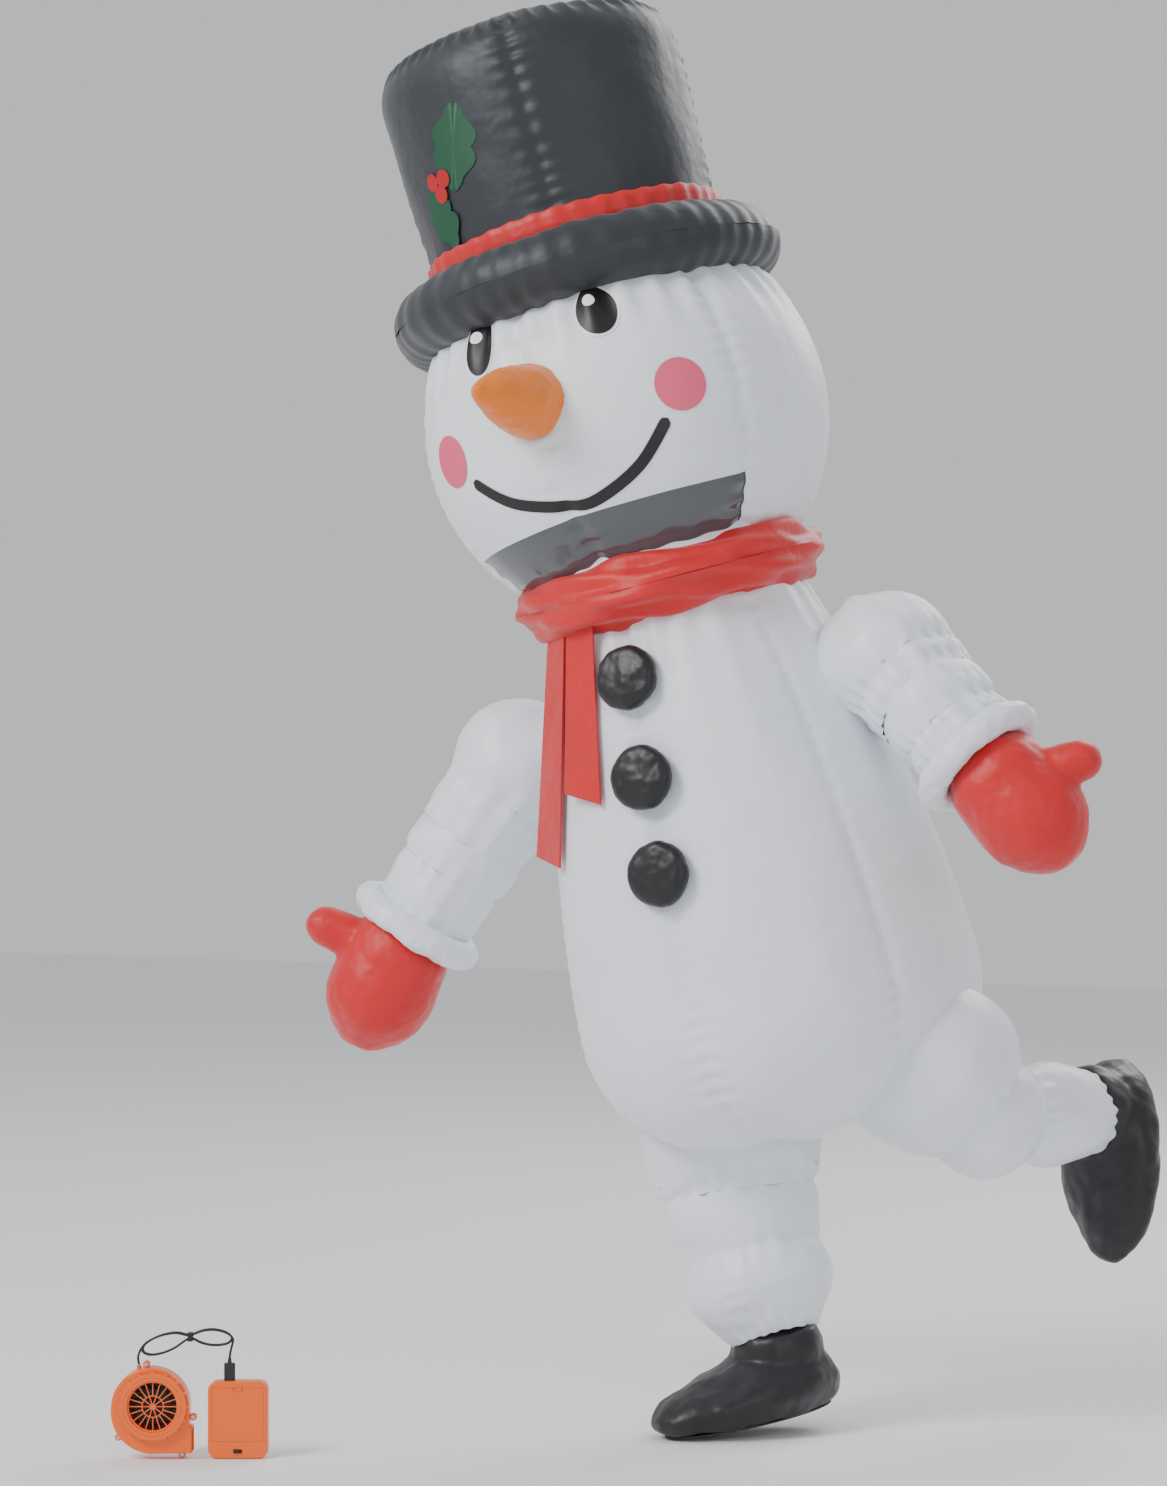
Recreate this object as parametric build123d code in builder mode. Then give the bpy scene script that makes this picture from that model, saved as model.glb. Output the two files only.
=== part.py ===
"""Wearable inflatable snowman in its running pose, with its blower and battery box set down beside it.

Millimetres, +Z up, the figure faces -Y and its own left is +X. The floor is z = 0.
"""
from build123d import *
import math
import os

os.makedirs("parts", exist_ok=True)

# fabric
SKIN = 1.6          # wall of coated polyester, with its seam allowance
SLIP = 0.3          # room between two skins that turn on each other
BALL_BACK = 50      # degrees that a limb's round root reaches back past its widest ring

# where the figure stands, and how it leans
PLACE = Vector(90.618364, 98.408984, 0)
NECK = Vector(-117, -44, 1268) + PLACE
TRUNK_LEAN, TRUNK_PITCH = 13.0, 6.5
HEAD_LEAN, HEAD_PITCH = 16.8, 1.0

# trunk, measured down from the neck
TRUNK_TOP = (190, -36)
TRUNK_WAIST = (262, -320)
TRUNK_BELLY = (300, -630)
TRUNK_TUCK = ((294, -690), (272, -745), (236, -789), (190, -815))
TRUNK_BASE = (6, -846)
PANEL_EDGES = (0, 60, 130, 180)

# scarf and neck
SCARF_R, SCARF_TUBE = 173, 39
NECK_BALL = 212.7
NECK_BAND = (12, 74)
TAIL_THICK = 3.0
TAIL_CLEAR = 1.3
TAIL_DROP, TAIL_TILT = 38, 12.5

# head and hat, measured up from the head's centre
HEAD_R = 303
HEAD_RISE = 255
HEAD_TOP = 161.7
WINDOW_TOP = -152
BRIM_R, BRIM_TUBE, BRIM_RISE = 246, 54, 215
CROWN_R, CROWN_TOP_R, CROWN_BASE, CROWN_TOP = 220, 232, 263, 622
CROWN_ROUND = 60
BAND_LOW, BAND_HIGH, BAND_THICK = 266, 298, 2.0
NOSE_R, NOSE_LENGTH, NOSE_RISE = 57, 168, 5

# buttons
BUTTON_R, BUTTON_DEEP, BUTTON_CLEAR = 49, 34, 0.6
BUTTON_DROPS = (120, 265, 405)


# zip and blower port on the back
ZIP_TOP, ZIP_FOOT, ZIP_HALF, ZIP_THICK = 60, 560, 2.6, 1.2
PORT_R, PORT_DEEP, PORT_AZIMUTH, PORT_DROP = 43, 12, 152, 470

# limb balls and tubes
SHOULDER_R, ELBOW_R, WRIST_R = 105, 88, 80
SLEEVE_END_R = 78
CUFF_R, CUFF_TUBE, CUFF_BACK = 84, 22, 60
MITTEN_R, MITTEN_LENGTH = 84, 150
THUMB_R, THUMB_REACH = 31, 118
ANKLE_R = 70
BOOT_LENGTH, BOOT_WIDE, ANKLE_HIGH, SOLE_THICK = 312, 172, 88, 2.5

# blower, drawn about its fan's centre, which stands FAN_HIGH above the floor
FAN_HIGH = 77
FAN_STAND = Plane(origin=Vector(-683, -594, FAN_HIGH) + PLACE,
                  x_dir=Vector(math.cos(math.radians(25)), math.sin(math.radians(25)), 0), z_dir=(0, 0, 1))
FAN_LEFT, FAN_RIGHT, FAN_HEAD, FAN_FOOT = 61.3, 52, 54.6, 68
OUTLET_X, OUTLET_TOP = 56, 30
FRONT_DEEP, BACK_DEEP, FAN_WALL = 18, 15, 2
INLET_R, COLLAR_R, COLLAR_DEEP = 37.5, 42, 9
CLAMP_R, CLAMP_NUBS, NUB_R = 48.5, 16, 2.8
GRILLE_MID_R, GRILLE_HUB_R, GRILLE_SPOKES, SPOKE_WIDE = 15.5, 4.4, 10, 1.4
IMPELLER_R, IMPELLER_BLADES = 33, 24
MOTOR_R, SHAFT_R, SHAFT_ROOM = 11.5, 1.0, 0.05
LUGS = ((-11.2, 58.6), (56.5, -17.7), (-52, -47), (40.4, -71.8))
LUG_R, LUG_DEEP, SCREW_R, SCREW_ROOM, SCREW_HEAD_R = 5.2, 5, 1.5, 0.08, 2.9
GLAND, GLAND_R, GLAND_DEEP = (-23, 6, 56), 3.4, 12

# battery box
BOX_WIDE, BOX_HIGH, BOX_DEEP, BOX_ROUND, BOX_WALL = 87, 112, 27, 14, 2
BOX_X = 122
LID_WIDE, LID_HIGH, LID_DROP = 74, 78, 9
SWITCH_SLOT, SWITCH_TALL, SWITCH_TRAVEL, SWITCH_RISE = 13, 5.6, 4, 11
CELL_R, CELL_LONG, CELL_FOOT = 7.1, 50.5, 34

# plug and lead
PLUG_X, PLUG_WIDE, PLUG_THICK, PLUG_LONG, RELIEF_LONG = 109, 16, 8, 25, 7.5
SHELL_WIDE, SHELL_TALL, SHELL_LONG, SHELL_ROOM = 12, 4.5, 11.7, 0.15
CORD_R = 1.75
FAN_LEAD = ((-23, 6, 57), (-24.5, 5, 62), (-24.4, 3, 66), (-21.5, 1, 69.8))
PLUG_LEAD = ((109, 0, 67.9), (109.7, 0.4, 74), (109.2, 0, 78.5), (106.8, 0, 83.4))
HANK_LOBES = ((12, 88, 37, 15, 20), (84, 97, 33, 14, -4))
HANK_TIE, HANK_WAIST, TIE_WIDE, HANK_THICK = (52, 98), 5, 7, 12


def leaning(origin, lean, pitch):
    """Plane whose Z runs up a body that leans to its own right and pitches forward."""
    up = Vector(0, 0, 1).rotate(Axis.X, pitch).rotate(Axis.Y, -lean)
    side = Vector(1, 0, 0).rotate(Axis.Y, -lean)
    return Plane(origin=origin, x_dir=side, z_dir=up)


def spot(base, x, y, z):
    """Point at x, y, z of a plane, in the row's frame."""
    return base.from_local_coords(Vector(x, y, z))


def save(piece, label):
    """Name a finished piece and write its file."""
    piece.part.label = label
    export_step(piece.part, f"parts/{label}.step")


def set_down(piece, plane, label):
    """Write a piece that was drawn at the origin, moved to the plane where it belongs."""
    with BuildPart() as placed:
        add(piece.part.moved(plane.location))
    save(placed, label)


TRUNK = leaning(NECK, TRUNK_LEAN, TRUNK_PITCH)
HEAD = leaning(spot(leaning(NECK, HEAD_LEAN, HEAD_PITCH), 0, 0, HEAD_RISE), HEAD_LEAN, HEAD_PITCH)

# joint centres
SHOULDERS = {"left": spot(TRUNK, 305, 15, -185), "right": spot(TRUNK, -325, 0, -210)}
ELBOWS = {"left": Vector(310, -33, 1083) + PLACE, "right": Vector(-468, -47, 863) + PLACE}
WRISTS = {"left": Vector(423, -46, 974) + PLACE, "right": Vector(-570, -78, 697) + PLACE}
THUMBS = {"left": Vector(515, -25, 1005) + PLACE, "right": Vector(-688, -139, 758) + PLACE}
HIPS = {"left": spot(TRUNK, 215, 0, -790), "right": spot(TRUNK, -137, 0, -835)}
KNEES = {"left": Vector(336, 90, 474) + PLACE, "right": Vector(-38, 40, 318) + PLACE}
ANKLES = {"left": Vector(411, 335, 464) + PLACE, "right": Vector(31, 15, 119) + PLACE}
TOES = {"left": Vector(0.05, -0.25, -0.97), "right": Vector(-0.594, -0.792, -0.14)}

MITTEN_AIMS = {"left": Vector(113, 19, -125), "right": Vector(-58, -21, -131)}

HIP_R = {"left": 135, "right": 138}
KNEE_R = {"left": 95, "right": 120}
SHIN_BULGE = {"left": 84, "right": 113}


def section(base, azimuth):
    """Upright plane through a body's axis, at an angle from its front towards its own left."""
    turn = math.radians(azimuth)
    out = base.x_dir * math.sin(turn) - base.y_dir * math.cos(turn)
    return Plane(origin=base.origin, x_dir=out, z_dir=out.cross(base.z_dir))


def gore(label, base, start, sweep, outline, cuts=(), wall=SKIN):
    """Panel of a skin of revolution. The outline is drawn from its top to its foot."""
    with BuildPart() as panel:
        with BuildSketch(section(base, start)):
            with BuildLine():
                outline()
                offset(amount=wall, side=Side.RIGHT)
            make_face()
        revolve(axis=Axis(base.origin, base.z_dir), revolution_arc=sweep)
        for centre, radius in cuts:
            with Locations(centre):
                Sphere(radius + SLIP, mode=Mode.SUBTRACT)
    save(panel, label)
    return panel


# ---- trunk: six panels from the scarf to the crotch ----
with BuildLine() as front_line:
    front_arc = ThreePointArc(TRUNK_TOP, TRUNK_WAIST, TRUNK_BELLY)
BOW, BOW_CENTRE = front_arc.radius, front_arc.arc_center
FLANK = [tuple(front_arc @ (step / 5))[:2] for step in range(6)]


def trunk_outline():
    Polyline(*FLANK, *TRUNK_TUCK, TRUNK_BASE)


limb_holes = [(SHOULDERS[s], SHOULDER_R) for s in SHOULDERS] + [(HIPS[s], HIP_R[s]) for s in HIPS]
for side, hand in (("left", 1), ("right", -1)):
    for part_name, low, high in zip(("front", "side", "back"), PANEL_EDGES, PANEL_EDGES[1:]):
        start = low if hand > 0 else -high
        gore(f"trunk_{part_name}_{side}", TRUNK, start, high - low, trunk_outline, limb_holes)

# ---- neck band: the fabric collar that the head's skin turns on ----
with BuildPart() as neck_band:
    with BuildSketch(section(TRUNK, 0)):
        with BuildLine():
            low, high = [(math.sqrt(NECK_BALL ** 2 - z * z), z) for z in NECK_BAND]
            RadiusArc(high, low, NECK_BALL)
            offset(amount=SKIN, side=Side.RIGHT)
        make_face()
    revolve(axis=Axis(TRUNK.origin, TRUNK.z_dir))
save(neck_band, "neck_band")

# ---- scarf ----
with BuildPart() as scarf_ring:
    with BuildSketch(section(TRUNK, 0)):
        with Locations((SCARF_R, 0)):
            Circle(SCARF_TUBE)
    revolve(axis=Axis(TRUNK.origin, TRUNK.z_dir))
save(scarf_ring, "scarf_ring")


def scarf_tail(label, azimuth, top_width, end_width, length, slant):
    """Flat strip of scarf that hangs from the underside of the ring."""
    root_plane = section(TRUNK, azimuth)
    reach = SCARF_TUBE + TAIL_THICK / 2 + TAIL_CLEAR
    drop, tilt = math.radians(TAIL_DROP), math.radians(TAIL_TILT)
    root = root_plane.from_local_coords(
        Vector(SCARF_R + reach * math.cos(drop), -reach * math.sin(drop), 0))
    out = root_plane.x_dir * math.cos(tilt) + TRUNK.z_dir * math.sin(tilt)
    rise = (Vector(0, 0, 1) - out * out.Z).normalized()
    across = rise.cross(out)
    face = Plane(origin=root, x_dir=across, z_dir=out)
    with BuildPart() as tail:
        with BuildSketch(face.offset(-TAIL_THICK / 2)):
            with BuildLine():
                Polyline((-top_width / 2, 0), (top_width / 2, 0), (end_width / 2 + slant, -length),
                         (-end_width / 2 + slant, -length + 14), close=True)
            make_face()
        extrude(amount=TAIL_THICK)
        fillet(tail.edges().filter_by(Axis(root, across)), TAIL_THICK * 0.45)
    save(tail, label)


scarf_tail("scarf_tail_long", -37, 54, 78, 350, -34)
scarf_tail("scarf_tail_short", -20, 56, 78, 262, 16)

# ---- three padded buttons on the centre seam ----
def on_trunk(azimuth, drop, lift=0):
    """Plane on the trunk's skin, facing out, at a drop below the neck."""
    seam = section(TRUNK, azimuth)
    turn = math.asin((-drop - BOW_CENTRE.Y) / BOW)
    reach = BOW + lift
    root = seam.from_local_coords(
        Vector(BOW_CENTRE.X + reach * math.cos(turn), BOW_CENTRE.Y + reach * math.sin(turn), 0))
    out = seam.x_dir * math.cos(turn) + seam.y_dir * math.sin(turn)
    return Plane(origin=root, x_dir=seam.z_dir * -1, z_dir=out)


with BuildPart() as button:
    with BuildSketch(Plane.XZ):
        with BuildLine():
            Line((0, BUTTON_CLEAR), (BUTTON_R - 14, BUTTON_CLEAR))
            ThreePointArc((BUTTON_R - 14, BUTTON_CLEAR), (BUTTON_R, 16), (BUTTON_R - 12, BUTTON_DEEP - 5))
            Line((BUTTON_R - 12, BUTTON_DEEP - 5), (0, BUTTON_DEEP))
            Line((0, BUTTON_DEEP), (0, BUTTON_CLEAR))
        make_face()
    revolve(axis=Axis.Z)
with BuildPart() as coat_buttons:
    for drop in BUTTON_DROPS:
        add(button.part.moved(on_trunk(0, drop).location))
save(coat_buttons, "coat_buttons")

# ---- head: six panels, the two at the front stopping at the clear window ----
NECK_RIM = (HEAD_R ** 2 - HEAD_RISE ** 2 - (NECK_BALL + SLIP) ** 2) / (-2 * HEAD_RISE) - HEAD_RISE - 3
neck_hole = [(NECK, NECK_BALL)]


def on_head(height):
    """Point of the head's outline at a height from its centre."""
    return (math.sqrt(HEAD_R ** 2 - height ** 2), height)


def head_arc(top, foot):
    """Outline of a stretch of the head between two heights."""
    def outline():
        RadiusArc(on_head(top), on_head(foot), HEAD_R)
    return outline


for side, hand in (("left", 1), ("right", -1)):
    for part_name, low, foot in (("front", 0, WINDOW_TOP), ("side", 60, NECK_RIM), ("back", 120, NECK_RIM)):
        start = low if hand > 0 else -low - 60
        gore(f"head_{part_name}_{side}", HEAD, start, 60, head_arc(HEAD_TOP, foot), neck_hole)
gore("face_window", HEAD, -60, 120, head_arc(WINDOW_TOP, NECK_RIM), neck_hole)

# ---- nose ----
nose_out = section(HEAD, 0).x_dir * math.cos(math.radians(NOSE_RISE)) + HEAD.z_dir * math.sin(
    math.radians(NOSE_RISE))
with BuildPart() as carrot_nose:
    with BuildSketch(Plane.XZ.offset(0)):
        with BuildLine():
            Line((0, HEAD_R - 12), (NOSE_R, HEAD_R - 12))
            ThreePointArc((NOSE_R, HEAD_R - 12), (NOSE_R * 0.68, HEAD_R + NOSE_LENGTH * 0.5),
                          (7, HEAD_R + NOSE_LENGTH - 5))
            Line((7, HEAD_R + NOSE_LENGTH - 5), (0, HEAD_R + NOSE_LENGTH))
            Line((0, HEAD_R + NOSE_LENGTH), (0, HEAD_R - 12))
        make_face()
    revolve(axis=Axis.Z)
    Sphere(HEAD_R + SLIP, mode=Mode.SUBTRACT)
set_down(carrot_nose, Plane(origin=HEAD.origin, x_dir=HEAD.x_dir, z_dir=nose_out), "carrot_nose")

# ---- hat ----
with BuildPart() as hat_brim:
    with BuildSketch(section(HEAD, 0)):
        with Locations((BRIM_R, BRIM_RISE)):
            Circle(BRIM_TUBE)
    revolve(axis=Axis(HEAD.origin, HEAD.z_dir))
save(hat_brim, "hat_brim")


def crown_wall_outline():
    Line((CROWN_TOP_R, CROWN_TOP - CROWN_ROUND), (CROWN_R, CROWN_BASE))


def crown_top_outline():
    ThreePointArc((0, CROWN_TOP), (CROWN_TOP_R * 0.55, CROWN_TOP - 10), (CROWN_TOP_R - 28, CROWN_TOP - 32))
    ThreePointArc((CROWN_TOP_R - 28, CROWN_TOP - 32), (CROWN_TOP_R - 6, CROWN_TOP - 46),
                  (CROWN_TOP_R, CROWN_TOP - CROWN_ROUND + 0.8))


def crown_radius(height):
    """Outside radius of the crown's wall at a height."""
    share = (height - CROWN_BASE) / (CROWN_TOP - CROWN_ROUND - CROWN_BASE)
    return CROWN_R + (CROWN_TOP_R - CROWN_R) * share


def band_outline():
    room = SLIP + BAND_THICK
    Line((crown_radius(BAND_HIGH) + room, BAND_HIGH), (crown_radius(BAND_LOW) + room, BAND_LOW))


gore("hat_crown_wall", HEAD, 0, 360, crown_wall_outline)
gore("hat_crown_top", HEAD, 0, 360, crown_top_outline)
gore("hat_band", HEAD, 0, 360, band_outline, wall=BAND_THICK)


# ---- arms and legs ----
def along(start, end):
    """Upright section of a limb: X across it, Y along it from its root."""
    run = (end - start).normalized()
    across = run.cross(Vector(0, 1, 0)).normalized()
    return Plane(origin=start, x_dir=across, z_dir=across.cross(run)), Axis(start, run)


def ball_point(radius, angle):
    """Point of a ball's outline, at an angle ahead of its widest ring."""
    turn = math.radians(angle)
    return (radius * math.cos(turn), radius * math.sin(turn))


def landing(reach, end_r, ball_r):
    """Point of a limb's outline where its open end just clears the next ball."""
    return (end_r, reach - math.sqrt((ball_r + SLIP) ** 2 - (end_r - SKIN) ** 2))


def limb(label, start, end, ball_r, waist, bulge, end_point):
    """Fabric tube with a ball-shaped root, which ends on the next ball."""
    plane, axis = along(start, end)
    with BuildPart() as tube:
        with BuildSketch(plane):
            with BuildLine():
                neck = ball_point(ball_r, waist)
                ThreePointArc(ball_point(ball_r, -BALL_BACK), (ball_r, 0), neck)
                if bulge:
                    ThreePointArc(neck, (bulge, (neck[1] + end_point[1]) / 2), end_point)
                offset(amount=SKIN, side=Side.LEFT)
            make_face()
        revolve(axis=axis)
    save(tube, label)


def palm_outline():
    """Closed half-outline of a mitten's palm, drawn upwards from the wrist."""
    root = ball_point(WRIST_R, -BALL_BACK)
    Line((0, root[1]), root)
    ThreePointArc(root, ball_point(WRIST_R, -25), (WRIST_R, 0))
    Spline((WRIST_R, 0), (MITTEN_R, 45), (62, MITTEN_LENGTH - 34), (34, MITTEN_LENGTH - 8),
           (0, MITTEN_LENGTH), tangents=[(0, 1), (-1, 0)])
    Line((0, MITTEN_LENGTH), (0, root[1]))


def mitten(side):
    """Padded mitten whose ball-shaped root turns inside the cuff."""
    aim = MITTEN_AIMS[side].normalized()
    base = Plane(origin=WRISTS[side], x_dir=aim.cross(Vector(0, 1, 0)), z_dir=aim)
    thumb = base.to_local_coords(THUMBS[side]).normalized()
    with BuildPart() as glove:
        with BuildSketch(Plane.XZ):
            with BuildLine():
                palm_outline()
            make_face()
        revolve(axis=Axis.Z)
        with Locations(Plane(origin=(0, 0, 0), z_dir=thumb)):
            Cone(THUMB_R + 8, THUMB_R, THUMB_REACH, align=(Align.CENTER, Align.CENTER, Align.MIN))
        with Locations(thumb * THUMB_REACH):
            Sphere(THUMB_R)
    set_down(glove, base, f"mitten_{side}")


def boot(side):
    """Padded shoe cover and its sole, on a ball-shaped ankle."""
    toe = TOES[side].normalized()
    up = Vector(0, 0, 1) if side == "right" else (KNEES[side] - ANKLES[side]).normalized()
    up = (up - toe * up.dot(toe)).normalized()
    base = Plane(origin=ANKLES[side], x_dir=toe, z_dir=up)
    long, wide = BOOT_LENGTH / 2, BOOT_WIDE / 2
    rings = ((-ANKLE_HIGH, 62, long - 16, wide - 20), (-ANKLE_HIGH + 24, 64, long, wide),
             (-ANKLE_HIGH + 54, 44, long - 26, wide - 2), (0, 4, ANKLE_R - 4, ANKLE_R - 4))
    with BuildPart() as cover:
        for height, ahead, half_long, half_wide in rings:
            with BuildSketch(Plane.XY.offset(height)):
                with Locations((ahead, 0)):
                    Ellipse(half_long, half_wide)
        loft()
        Sphere(ANKLE_R)
        split(bisect_by=Plane.XY.offset(ANKLE_R * 0.5), keep=Keep.BOTTOM)
    set_down(cover, base, f"boot_{side}")
    with BuildPart() as sole:
        with BuildSketch(Plane.XY.offset(-ANKLE_HIGH - SOLE_THICK)):
            with Locations((62, 0)):
                Ellipse(long - 18, wide - 22)
        extrude(amount=SOLE_THICK)
    set_down(sole, base, f"boot_sole_{side}")


for side in ("left", "right"):
    shoulder, elbow, wrist = SHOULDERS[side], ELBOWS[side], WRISTS[side]
    hip, knee, ankle = HIPS[side], KNEES[side], ANKLES[side]
    reach = (elbow - shoulder).length
    limb(f"sleeve_upper_{side}", shoulder, elbow, SHOULDER_R, 32, (SHOULDER_R + ELBOW_R) / 2 * 0.94,
         landing(reach, ELBOW_R * 0.95, ELBOW_R))
    reach = (wrist - elbow).length
    limb(f"sleeve_lower_{side}", elbow, wrist, ELBOW_R, 28, (ELBOW_R + SLEEVE_END_R) / 2 * 0.99,
         (SLEEVE_END_R, reach - CUFF_BACK - CUFF_TUBE - SLIP))
    plane, axis = along(wrist, wrist + (wrist - elbow))
    with BuildPart() as cuff:
        with BuildSketch(plane):
            with Locations((CUFF_R, -CUFF_BACK)):
                Circle(CUFF_TUBE)
        revolve(axis=axis)
    save(cuff, f"cuff_{side}")
    mitten(side)
    reach = (knee - hip).length
    if side == "left":
        rim, ball = HIP_R[side] - SKIN, KNEE_R[side] + SLIP
        crossing = (rim ** 2 + reach ** 2 - ball ** 2) / (2 * rim * reach)
        limb("leg_upper_left", hip, knee, HIP_R[side], math.degrees(math.asin(crossing)), None, None)
    else:
        limb("leg_upper_right", hip, knee, HIP_R[side], 28, 120,
             landing(reach, KNEE_R[side] * 0.95, KNEE_R[side]))
    reach = (ankle - knee).length
    limb(f"leg_lower_{side}", knee, ankle, KNEE_R[side], 46 if side == "left" else 30,
         SHIN_BULGE[side], landing(reach, ANKLE_R * 0.95, ANKLE_R))
    boot(side)

# ---- zip down the back seam, and the port that the blower clamps into ----
with BuildPart() as zip_tape:
    with BuildSketch(section(TRUNK, 180 - ZIP_HALF)):
        with BuildLine():
            top, low = [(BOW_CENTRE.X + math.sqrt((BOW + SLIP + ZIP_THICK) ** 2 - (-d - BOW_CENTRE.Y) ** 2), -d)
                        for d in (ZIP_TOP, ZIP_FOOT)]
            RadiusArc(top, low, BOW + SLIP + ZIP_THICK)
            offset(amount=ZIP_THICK, side=Side.RIGHT)
        make_face()
    revolve(axis=Axis(TRUNK.origin, TRUNK.z_dir), revolution_arc=2 * ZIP_HALF)
save(zip_tape, "zip_tape")
with BuildPart() as zip_slider:
    with Locations((0, 0, 2.2)):
        Box(9, 14, 3.2)
    with Locations((0, -16, 3.2)):
        Box(6, 30, 1.2)
        fillet(zip_slider.edges().filter_by(Axis.Z).group_by(Axis.Y)[0], 2.5)
set_down(zip_slider, on_trunk(180, ZIP_TOP + 16, SLIP + ZIP_THICK), "zip_slider")
with BuildPart() as fan_port_ring:
    Cylinder(PORT_R + 7, PORT_DEEP)
    Cylinder(PORT_R, PORT_DEEP, mode=Mode.SUBTRACT)
    fillet(fan_port_ring.edges().group_by(Axis.Z)[-1], 2)
set_down(fan_port_ring, on_trunk(PORT_AZIMUTH, PORT_DROP, PORT_DEEP / 2 + 2), "fan_port_ring")


# ---- blower and battery box, stood on the floor beside the figure ----
def volute_outline():
    """Snail-shaped outline of the blower about its fan, with the outlet at its lower right."""
    Line((OUTLET_X, -FAN_FOOT), (0, -FAN_FOOT - 1.3))
    ThreePointArc((0, -FAN_FOOT - 1.3), (-46, -49), (-FAN_LEFT, 0))
    ThreePointArc((-FAN_LEFT, 0), (-42, 40), (0, FAN_HEAD))
    ThreePointArc((0, FAN_HEAD), (38.5, 35), (FAN_RIGHT, -6))
    Line((FAN_RIGHT, -6), (FAN_RIGHT, -OUTLET_TOP))
    Line((FAN_RIGHT, -OUTLET_TOP), (OUTLET_X, -OUTLET_TOP))
    Line((OUTLET_X, -OUTLET_TOP), (OUTLET_X, -FAN_FOOT))


def set_beside(piece, label):
    """Place a piece of the blower or the battery box, drawn about the fan's own centre."""
    set_down(piece, FAN_STAND, label)


for label, depth, front in (("blower_front", FRONT_DEEP, True), ("blower_back", BACK_DEEP, False)):
    face = Plane.XZ if front else Plane.XZ.offset(-BACK_DEEP)
    floor_in = 0 if front else FAN_WALL
    with BuildPart() as shell:
        with BuildSketch(face):
            with BuildLine():
                volute_outline()
            make_face()
        extrude(amount=depth)
        fillet(shell.faces().sort_by(Axis.Y)[0 if front else -1].edges(), 2.5)
        with BuildSketch(Plane.XZ if front else Plane.XZ.offset(-BACK_DEEP + FAN_WALL)):
            with BuildLine():
                volute_outline()
            make_face()
            offset(amount=-FAN_WALL, mode=Mode.REPLACE)
        extrude(amount=depth - FAN_WALL, mode=Mode.SUBTRACT)
        with Locations((OUTLET_X, 0, -(OUTLET_TOP + FAN_FOOT) / 2)):
            Box(3 * FAN_WALL, 2 * (depth - FAN_WALL), FAN_FOOT - OUTLET_TOP - 2 * FAN_WALL,
                mode=Mode.SUBTRACT)
        for x, z in LUGS:
            with BuildSketch(Plane.XZ.offset(0 if front else -LUG_DEEP)):
                with Locations((x, z)):
                    Circle(LUG_R)
            extrude(amount=LUG_DEEP)
            with BuildSketch(Plane.XZ.offset(0 if front else -LUG_DEEP)):
                with Locations((x, z)):
                    Circle(SCREW_R + SCREW_ROOM)
            extrude(amount=LUG_DEEP, mode=Mode.SUBTRACT)
        if front:
            with BuildSketch(Plane.XZ.offset(depth)):
                Circle(COLLAR_R)
            extrude(amount=COLLAR_DEEP)
            with BuildSketch(Plane.XZ.offset(depth - FAN_WALL)):
                Circle(INLET_R)
            extrude(amount=COLLAR_DEEP + FAN_WALL, mode=Mode.SUBTRACT)
        else:
            with Locations((GLAND[0], GLAND[1], GLAND[2] - GLAND_DEEP / 2)):
                Cylinder(GLAND_R, GLAND_DEEP)
    set_beside(shell, label)

with BuildPart() as clamp_ring:
    with BuildSketch(Plane.XZ.offset(FRONT_DEEP + SLIP)):
        Circle(CLAMP_R)
        Circle(COLLAR_R + SLIP, mode=Mode.SUBTRACT)
    extrude(amount=COLLAR_DEEP - SLIP)
    with BuildSketch(Plane.XZ.offset(FRONT_DEEP + SLIP)):
        with PolarLocations(CLAMP_R, CLAMP_NUBS):
            Circle(NUB_R)
    extrude(amount=COLLAR_DEEP - 1.5)
set_beside(clamp_ring, "clamp_ring")

with BuildPart() as inlet_grille:
    with BuildSketch(Plane.XZ.offset(FRONT_DEEP + 2)):
        Circle(INLET_R - 0.05)
        Circle(INLET_R - 3, mode=Mode.SUBTRACT)
        Circle(GRILLE_MID_R + 0.7)
        Circle(GRILLE_MID_R - 0.7, mode=Mode.SUBTRACT)
        Circle(GRILLE_HUB_R)
        with PolarLocations((INLET_R - 2 + GRILLE_MID_R) / 2, 2 * GRILLE_SPOKES):
            Rectangle(INLET_R - 2 - GRILLE_MID_R, SPOKE_WIDE)
        with PolarLocations((GRILLE_MID_R + GRILLE_HUB_R - 1) / 2, GRILLE_SPOKES):
            Rectangle(GRILLE_MID_R - GRILLE_HUB_R + 1, SPOKE_WIDE)
    extrude(amount=2)
set_beside(inlet_grille, "inlet_grille")

with BuildPart() as impeller:
    with BuildSketch(Plane.XZ.offset(3.5)):
        Circle(IMPELLER_R)
    extrude(amount=1.5)
    with BuildSketch(Plane.XZ.offset(3.5)):
        Circle(5)
    extrude(amount=7)
    with BuildSketch(Plane.XZ.offset(5)):
        with PolarLocations(IMPELLER_R - 6, IMPELLER_BLADES):
            Rectangle(11, 1, rotation=35)
    extrude(amount=9)
    with BuildSketch(Plane.XZ.offset(3.5)):
        Circle(SHAFT_R + SHAFT_ROOM)
    extrude(amount=7, mode=Mode.SUBTRACT)
set_beside(impeller, "impeller")

with BuildPart() as motor:
    with BuildSketch(Plane.XZ.offset(-(BACK_DEEP - FAN_WALL))):
        Circle(MOTOR_R)
    extrude(amount=BACK_DEEP - FAN_WALL + 1)
    with BuildSketch(Plane.XZ.offset(1)):
        Circle(SHAFT_R)
    extrude(amount=9)
set_beside(motor, "motor")

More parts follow.
